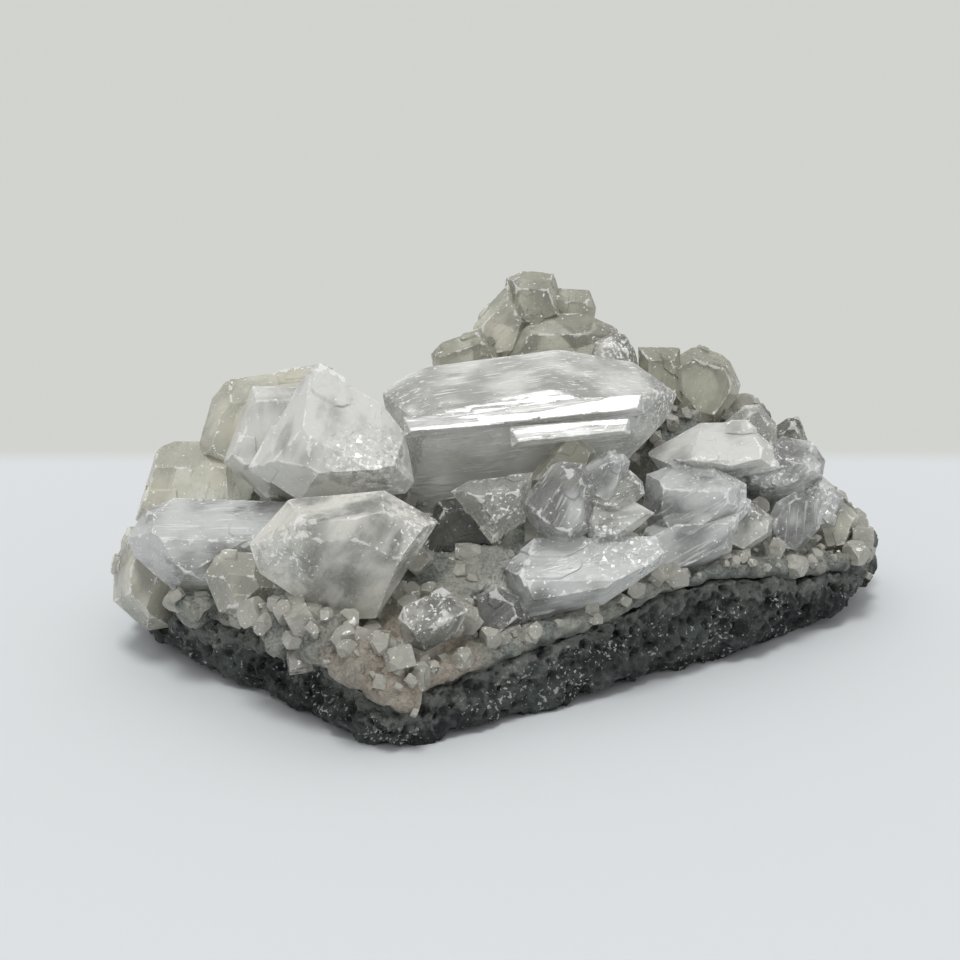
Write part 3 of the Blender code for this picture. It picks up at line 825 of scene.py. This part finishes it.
def crystal_relief(tree, local, sparkle, flat, lines):
    """Normal of growth lines, broad and close flakes, and small pits."""
    growth = noise_of(tree, stretched(tree, local, LINE_STRETCH), scale=2.4, detail=4)
    normal = bump(tree, maths(tree, "MULTIPLY", growth, flat), lines * MM)
    broad = maths(tree, "MULTIPLY", flake_height(tree, local, scale=0.28, tilt=0.06), flat)
    normal = bump(tree, broad, MM, below=normal)
    close = flake_height(tree, local, scale=1.2, tilt=0.8)
    close = maths(tree, "MULTIPLY", close, spread(tree, sparkle, (0, 0.5)))
    normal = bump(tree, close, MM, below=normal)
    pits = spread(tree, noise_of(tree, local, scale=3.2, detail=2), PIT_LEVELS, to=(0.0, -1.0))
    return bump(tree, maths(tree, "MULTIPLY", pits, flat), PIT_DEPTH * MM, below=normal)


def crystal_material(name, clear, milky, clearness, roughness, lines, reflection_line_strength):
    """Crystal that is clear in places and milky in others, with growth lines and worn edges, and with
    painted glints and painted reflection lines in white.
    """
    material, tree, shader = new_material(name)
    local = attribute(tree, "local").outputs["Vector"]
    marks = put(tree, "ShaderNodeSeparateColor", {"Color": attribute(tree, "marks").outputs["Color"]})
    sparkle, milk, polish = marks.outputs

    veil = noise_of(tree, stretched(tree, local, VEIL_STRETCH), scale=0.3, detail=4, distortion=0.3)
    cloud = maths(tree, "ADD", veil, maths(tree, "SUBTRACT", milk, 0.5))
    cloud = spread(tree, cloud, CLOUD_LEVELS)
    # White chips at the edges, with painted glints and painted reflection lines
    chips_and_painted_light = white_marks(tree, local, sparkle, reflection_line_strength)
    colour = blend(tree, cloud, clear, milky)
    tree.links.new(blend(tree, chips_and_painted_light, colour, CHIP_AND_PAINTED_LIGHT_WHITE), shader.inputs["Base Color"])
    through = spread(tree, cloud, (0, 1), to=(clearness, clearness * MILKY_CLEARNESS))
    uncovered = maths(tree, "MULTIPLY_ADD", chips_and_painted_light, -WHITE_COVER, 1.0)
    tree.links.new(maths(tree, "MULTIPLY", through, uncovered), shader.inputs["Transmission Weight"])

    stripes = noise_of(tree, stretched(tree, local, STRIPE_STRETCH), scale=0.8, detail=3)
    shine = maths(tree, "MULTIPLY_ADD", polish, STRIPES_BY_POLISH, stripes)
    shine = spread(tree, shine, STRIPE_LEVELS)
    grain = [roughness * part for part in GRAIN]
    dull = spread(tree, noise_of(tree, local, scale=2.2, detail=3), (0.3, 0.7), to=grain)
    dull = maths(tree, "MULTIPLY", dull, spread(tree, shine, (0, 1), to=(1.0, SHINY_ROUGHNESS)))
    tree.links.new(dull, shader.inputs["Roughness"])

    flat = maths(tree, "MULTIPLY_ADD", shine, -SHINY_FLATNESS, 1.0)
    tree.links.new(crystal_relief(tree, local, sparkle, flat, lines), shader.inputs["Normal"])
    shader.inputs["IOR"].default_value = CRYSTAL_IOR
    return material


CRUST_GREEN = (0.13, 0.15, 0.135, 1)
CRUST_GREY = (0.3, 0.3, 0.26, 1)
CRUST_TAN = (0.33, 0.28, 0.22, 1)
CRUST_GRAINS = (0.46, 0.46, 0.42, 1)
CRUST_BY_ROCK = (0.06, 0.066, 0.062, 1)
CRUST_BY_ROOTS = (0.72, 0.72, 0.68, 1)
CRUST_GRAINS_SHARE = 0.35
CRUST_BY_ROCK_SHARE = 0.8
CRUST_BY_ROOTS_SHARE = 0.6
CRUST_RELIEF = 0.4


def crust_material():
    """Chalky crust, greenish grey to tan, with pale grains and paler where crystals grow from it."""
    material, tree, shader = new_material("chalky_crust")
    place = in_millimetres(tree)
    patches = spread(tree, noise_of(tree, place, scale=0.16, detail=4, distortion=0.3), (0.42, 0.6))
    colour = blend(tree, patches, CRUST_GREEN, CRUST_GREY)
    tan = spread(tree, attribute(tree, "tan").outputs["Fac"], (0.0, 0.5))
    colour = blend(tree, tan, colour, CRUST_TAN)
    fine = spread(tree, noise_of(tree, place, scale=2.0, detail=4), (0.35, 0.65))
    colour = blend(tree, maths(tree, "MULTIPLY", fine, CRUST_GRAINS_SHARE), colour, CRUST_GRAINS)
    dark = ragged(tree, place, "low", (0.45, 0.85))
    colour = blend(tree, maths(tree, "MULTIPLY", dark, CRUST_BY_ROCK_SHARE), colour, CRUST_BY_ROCK)
    roots = maths(tree, "MULTIPLY", attribute(tree, "root").outputs["Fac"], CRUST_BY_ROOTS_SHARE)
    colour = blend(tree, roots, colour, CRUST_BY_ROOTS)
    tree.links.new(colour, shader.inputs["Base Color"])
    tree.links.new(spread(tree, fine, (0, 1), to=(0.6, 0.3)), shader.inputs["Roughness"])
    normal = bump(tree, flake_height(tree, place, scale=1.3, tilt=0.9), MM)
    normal = bump(tree, noise_of(tree, place, scale=2.5, detail=4), CRUST_RELIEF * MM, below=normal)
    tree.links.new(normal, shader.inputs["Normal"])
    return material


ROCK_BLACK = (0.008, 0.009, 0.01, 1)
ROCK_GREEN = (0.052, 0.062, 0.057, 1)
ROCK_MOTTLE = (0.15, 0.16, 0.155, 1)
ROCK_SPECKS = (0.46, 0.47, 0.45, 1)
ROCK_CHALK = (0.17, 0.18, 0.165, 1)
# Painted shade: near black for the vesicle hollows
ROCK_PIT_SHADE = (0.008, 0.008, 0.009, 1)
ROCK_MOTTLE_SHARE = 0.4
ROCK_CHALK_SHARE = 0.8
ROCK_RELIEF = 1.2


def basalt_material():
    """Dark basalt with greenish-grey patches, pale grains in clusters and painted shade in its hollows."""
    material, tree, shader = new_material("vesicular_basalt")
    place = in_millimetres(tree)
    patches = spread(tree, noise_of(tree, place, scale=0.11, detail=5, distortion=0.6), (0.45, 0.6))
    colour = blend(tree, patches, ROCK_BLACK, ROCK_GREEN)
    mottle = spread(tree, noise_of(tree, place, scale=0.9, detail=4), (0.45, 0.7))
    colour = blend(tree, maths(tree, "MULTIPLY", mottle, ROCK_MOTTLE_SHARE), colour, ROCK_MOTTLE)
    crowd = spread(tree, noise_of(tree, place, scale=0.2, detail=2), (0.4, 0.65), to=(-0.04, 0.08))
    specks = maths(tree, "ADD", noise_of(tree, place, scale=1.6, detail=3), crowd)
    colour = blend(tree, spread(tree, specks, (0.64, 0.69)), colour, ROCK_SPECKS)
    chalk = ragged(tree, place, "chalk", (0.45, 0.75))
    colour = blend(tree, maths(tree, "MULTIPLY", chalk, ROCK_CHALK_SHARE), colour, ROCK_CHALK)
    # Painted shade: the vesicle hollows, sunk in the mesh, are also painted near black
    colour = blend(tree, attribute(tree, "pit").outputs["Fac"], colour, ROCK_PIT_SHADE)
    tree.links.new(colour, shader.inputs["Base Color"])
    rough = spread(tree, noise_of(tree, place, scale=1.8, detail=3), (0.3, 0.7), to=(0.4, 0.85))
    tree.links.new(rough, shader.inputs["Roughness"])
    normal = bump(tree, noise_of(tree, place, scale=0.9, detail=6), ROCK_RELIEF * MM)
    tree.links.new(normal, shader.inputs["Normal"])
    return material


# Rock and crust, in millimetres. A noise is given by its roughness, the step between its scales and
# their number, and pits by their spacing and radius as a share of it.

WELD = 0.005
SIDE_ROUNDS = 4
LEVEL_FACE = 0.93

ROCK_CELL = 0.65
ROCK_LEVEL_CELL = ROCK_CELL * 3
ROCK_WAVE = 6
ROCK_SWING = 1.5
ROCK_NOISE = (0.7, 2.2, 6)
RESTING_HEIGHT = 0.3
RESTING_SHARE = 0.3
CHALK_REACH = 7
LARGE_PITS = (3.4, 0.42)
SMALL_PITS = (1.9, 0.4)
SMALL_PITS_SHARE = 0.7
SMALL_PITS_SHIFT = Vector((50, 0, 0))
PIT_SINK = 1.4
PIT_WIDTHS = (0.6, 0.8)
PIT_WIDTH_STEP = 3.7

CRUST_CELL = 1.0
CRUST_WAVE = 3
CRUST_SWING = 0.7
CRUST_NOISE = (0.8, 2.1, 4)
ROOT_REACH = 1.5
DARK_REACH = 3
TAN_MIDDLE = Vector((-16, -36, 9))
TAN_RADIUS = 16


def copy_of(node):
    """The node's mesh as one welded surface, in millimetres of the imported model."""
    shape = bmesh.new()
    shape.from_mesh(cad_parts[node].data)
    shape.transform(Matrix.Scale(1 / MM, 4))
    bmesh.ops.remove_doubles(shape, verts=shape.verts, dist=WELD)
    return shape


def soften(shape, times):
    for _ in range(times):
        bmesh.ops.smooth_vert(shape, verts=shape.verts, factor=0.5, use_axis_x=True, use_axis_y=True,
                              use_axis_z=True)


def pit_depth(point, size, radius):
    """Depth of round vesicles scattered in the rock, from 0 to 1."""
    distances, centres = noise.voronoi(point / size)
    wide = radius * (PIT_WIDTHS[0] + PIT_WIDTHS[1] * abs(noise.noise(centres[0] * PIT_WIDTH_STEP)))
    apart = distances[0] / wide
    return max(0.0, 1.0 - apart * apart)


def refine_sides(shape, cell, level_cell):
    """Refines a slab: its sides to the cell, and its level top and bottom more coarsely."""
    refine(shape, level_cell)
    for _ in range(SIDE_ROUNDS):
        edges = [edge for edge in long_edges(shape, cell)
                 if any(abs(face.normal.z) < LEVEL_FACE for face in edge.link_faces)]
        if not edges:
            break
        halve(shape, edges)


def nearness(points, node, reach):
    """How near points are to a node's surface, from 1 on it to 0 at the reach."""
    ground = copy_of(node)
    surface = BVHTree.FromBMesh(ground)
    ground.free()
    return [max(0.0, 1.0 - surface.find_nearest(point)[3] / reach) for point in points]


def rock_piece(material):
    """The slab: rough, pitted at the sides, and level where it rests."""
    shape = copy_of("basalt_matrix")
    refine(shape, ROCK_LEVEL_CELL)
    soften(shape, 1)
    shape.normal_update()
    refine_sides(shape, ROCK_CELL, ROCK_LEVEL_CELL)
    shape.normal_update()
    pit_shade_layer = shape.verts.layers.float.new("pit")
    chalk_layer = shape.verts.layers.float.new("chalk")
    chalk = nearness([vert.co for vert in shape.verts], "crystal_crust", CHALK_REACH)
    moves = []
    for vert, near in zip(shape.verts, chalk):
        point = vert.co
        vert[chalk_layer] = near
        small_pit = SMALL_PITS_SHARE * pit_depth(point + SMALL_PITS_SHIFT, *SMALL_PITS)
        pit = max(pit_depth(point, *LARGE_PITS), small_pit)
        rough = ROCK_SWING * noise.fractal(point / ROCK_WAVE, *ROCK_NOISE) - PIT_SINK * pit
        if point.z < RESTING_HEIGHT:
            rough = min(rough, 0.0) * RESTING_SHARE
        # The depth of the hollows is kept for their painted shade
        vert[pit_shade_layer] = pit
        moves.append(vert.normal * rough)
    move_out(shape, moves)
    for vert in shape.verts:
        vert.co.z = max(vert.co.z, 0.0)
    shape.transform(Matrix.Scale(MM, 4))
    new_piece("basalt_rock", shape, material, "basalt_matrix")


def distances_to_crystals(points):
    """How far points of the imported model, in millimetres, are outside the nearest large crystal."""
    places = np.array([point + BASE for point in points])
    nearest = np.full(len(places), np.inf)
    for group in CRYSTAL_GROUPS.values():
        for planes in group():
            normals, distances = plane_arrays(planes)
            nearest = np.minimum(nearest, (places @ normals.T - distances).max(axis=1))
    return nearest


def crust_piece(material):
    """The crust: rough, and marked where crystals root, where it is tan and where it meets the rock."""
    shape = copy_of("crystal_crust")
    refine(shape, CRUST_CELL * 2)
    soften(shape, 2)
    refine(shape, CRUST_CELL)
    shape.normal_update()
    root_layer = shape.verts.layers.float.new("root")
    tan_layer = shape.verts.layers.float.new("tan")
    low_layer = shape.verts.layers.float.new("low")
    points = [vert.co for vert in shape.verts]
    low = nearness(points, "basalt_matrix", DARK_REACH)
    moves = []
    for vert, apart, near in zip(shape.verts, distances_to_crystals(points), low):
        vert[low_layer] = near
        vert[root_layer] = min(max((ROOT_REACH - apart) / ROOT_REACH, 0.0), 1.0)
        vert[tan_layer] = max(0.0, 1.0 - (vert.co + BASE - TAN_MIDDLE).length / TAN_RADIUS)
        rough = CRUST_SWING * noise.fractal(vert.co / CRUST_WAVE, *CRUST_NOISE)
        moves.append(vert.normal * rough)
    move_out(shape, moves)
    shape.transform(Matrix.Scale(MM, 4))
    new_piece("crust", shape, material, "crystal_crust")


# Small crystals that cover the crust

DRUSE_TRIES = 2400
DRUSE_SIZES = (0.4, 2.0)
DRUSE_STRETCH = (0.75, 1.2)
DRUSE_SINK = 0.1
DRUSE_LOWEST_FACE = -0.3
DRUSE_CLEARANCE = 0.2
DRUSE_LEAN = 0.6
DRUSE_TURN = 6.3
# How much the small crystals sparkle: it sets their flake relief and their painted glints as white flecks
DRUSE_SPARKLE = 0.25
DRUSE_MILK = (0.3, 0.8)
DRUSE_POLISH = 0.2
BLOCK_SIDES = (0.75, 1.1)
BLOCK_CORNERS = (1.05, 1.45)


def block_planes(chance):
    """Planes of a small blocky crystal of about unit half size, with its corners cut."""
    planes = [(Vector(axis) * way, chance.uniform(*BLOCK_SIDES))
              for axis in ((1, 0, 0), (0, 1, 0), (0, 0, 1)) for way in (1, -1)]
    for corner in itertools.product((1, -1), repeat=3):
        planes.append((Vector(corner).normalized(), chance.uniform(*BLOCK_CORNERS)))
    return planes


def druse_places(chance):
    """Points on the crust outside the large crystals, drawn by area, each as its place, normal and size."""
    ground = copy_of("crystal_crust")
    bmesh.ops.triangulate(ground, faces=ground.faces)
    faces = list(ground.faces)
    low, high = cad_bounds[0] / MM, cad_bounds[1] / MM
    found = []
    for face in chance.choices(faces, weights=[face.calc_area() for face in faces], k=DRUSE_TRIES):
        first, second = sorted((chance.random(), chance.random()))
        a, b, c = (vert.co for vert in face.verts)
        size = DRUSE_SIZES[0] + (DRUSE_SIZES[1] - DRUSE_SIZES[0]) * chance.random() ** 2
        place = a * first + b * (second - first) + c * (1 - second) + face.normal * size * DRUSE_SINK
        inside = all(low[i] + size < place[i] < high[i] - size for i in range(2))
        if inside and face.normal.z > DRUSE_LOWEST_FACE:
            found.append((place, face.normal.copy(), size))
    ground.free()
    clear = distances_to_crystals([place for place, _, _ in found]) > DRUSE_CLEARANCE
    return [each for each, is_clear in zip(found, clear) if is_clear]


def druse_piece(material):
    """Small blocky crystals scattered over the crust."""
    chance = random.Random("druse")
    druse = bmesh.new()
    local_layer = druse.verts.layers.float_vector.new("local")
    marks_layer = druse.verts.layers.float_color.new("marks")
    rim_layer = druse.verts.layers.float.new("rim")
    for place, normal, size in druse_places(chance):
        lean = Matrix.Rotation(chance.uniform(-DRUSE_LEAN, DRUSE_LEAN), 3, "X")
        spin = Matrix.Rotation(chance.uniform(0, DRUSE_TURN), 3, "Z")
        stretch = Matrix.Diagonal([chance.uniform(*DRUSE_STRETCH) for _ in range(3)])
        turn = normal.to_track_quat("Z", "Y").to_matrix() @ (lean @ spin) @ stretch
        milk = chance.uniform(*DRUSE_MILK)
        block = crystal_mesh(block_planes(chance))
        corners = {}
        for vert in block.verts:
            new = druse.verts.new(place + turn @ vert.co * size)
            new[local_layer] = new.co
            new[marks_layer] = (DRUSE_SPARKLE, milk, DRUSE_POLISH, 1)
            new[rim_layer] = RIM_REACH
            corners[vert] = new
        for side in block.faces:
            druse.faces.new([corners[vert] for vert in side.verts])
        block.free()
    bmesh.ops.triangulate(druse, faces=druse.faces)
    druse.transform(Matrix.Scale(MM, 4))
    new_piece("druse", druse, material, "crystal_crust")


# Floor, light and camera. The floor is in metres and turns to another tone at its far edge.

FLOOR_SIZE = 8.0
FLOOR_COLOUR = (0.72, 0.745, 0.76, 1)
WALL_COLOUR = (0.64, 0.65, 0.62, 1)
FLOOR_EDGE = 0.1
FLOOR_EDGE_BLUR = 0.006
FLOOR_ROUGHNESS = 0.9
FLOOR_GLOSS = 0.1

# Brightness of the sky by height, as two stops, and the one lamp
SKY = ((0.1, 0.46), (0.95, 0.74))
SUN_STRENGTH = 1.2
SUN_SPREAD = 18
SUN_FROM = Vector((-0.05, -0.28, 0.96))

# The camera's place in the layout, in millimetres
CAMERA_PLACE = Vector((-5, -300, 125))
CAMERA_LENS = 75
CAMERA_SENSOR = 36
CAMERA_NEAR = 0.01


def floor():
    shape = bmesh.new()
    bmesh.ops.create_grid(shape, x_segments=2, y_segments=2, size=FLOOR_SIZE / 2)
    mesh = bpy.data.meshes.new("floor")
    shape.to_mesh(mesh)
    shape.free()
    thing = bpy.data.objects.new("floor", mesh)
    bpy.context.scene.collection.objects.link(thing)
    material, tree, shader = new_material("floor")
    place = put(tree, "ShaderNodeTexCoord").outputs["Object"]
    depth = put(tree, "ShaderNodeSeparateXYZ", {0: place}).outputs["Y"]
    far = spread(tree, depth, (FLOOR_EDGE - FLOOR_EDGE_BLUR, FLOOR_EDGE + FLOOR_EDGE_BLUR))
    colour = blend(tree, far, FLOOR_COLOUR, WALL_COLOUR)
    tree.links.new(colour, shader.inputs["Base Color"])
    shader.inputs["Roughness"].default_value = FLOOR_ROUGHNESS
    shader.inputs["Specular IOR Level"].default_value = FLOOR_GLOSS
    mesh.materials.append(material)


def lights():
    world = bpy.context.scene.world or bpy.data.worlds.new("world")
    bpy.context.scene.world = world
    world.use_nodes = True
    tree = world.node_tree
    direction = put(tree, "ShaderNodeTexCoord").outputs["Generated"]
    height = put(tree, "ShaderNodeSeparateXYZ", {0: direction}).outputs["Z"]
    ramp = put(tree, "ShaderNodeValToRGB", {0: height})
    for (place, light), stop in zip(SKY, ramp.color_ramp.elements):
        stop.position = place
        stop.color = (light, light, light, 1)
    tree.links.new(ramp.outputs[0], tree.nodes["Background"].inputs["Color"])
    lamp = bpy.data.lights.new("key", "SUN")
    lamp.energy = SUN_STRENGTH
    lamp.angle = math.radians(SUN_SPREAD)
    key = bpy.data.objects.new("key", lamp)
    key.rotation_euler = SUN_FROM.to_track_quat("Z", "Y").to_euler()
    bpy.context.scene.collection.objects.link(key)


def camera():
    seen = bpy.data.cameras.new("camera")
    seen.lens = CAMERA_LENS
    seen.sensor_width = CAMERA_SENSOR
    seen.clip_start = CAMERA_NEAR
    thing = bpy.data.objects.new("camera", seen)
    thing.location = (CAMERA_PLACE - BASE) * MM
    thing.rotation_euler = (math.pi / 2 - VIEW_LIFT, 0, 0)
    bpy.context.scene.collection.objects.link(thing)
    bpy.context.scene.camera = thing


def main():
    materials = {kind: crystal_material(*finish) for kind, finish in CRYSTAL_FINISHES.items()}
    for node, group in CRYSTAL_GROUPS.items():
        for index, (planes, look) in enumerate(zip(group(), LOOKS[node])):
            crystal_piece(f"{node}_{index + 1}", planes, look, node, materials)
    rock_piece(basalt_material())
    crust_piece(crust_material())
    druse_piece(materials["druse"])
    floor()
    lights()
    camera()
    bpy.context.scene.view_settings.view_transform = "Standard"


main()
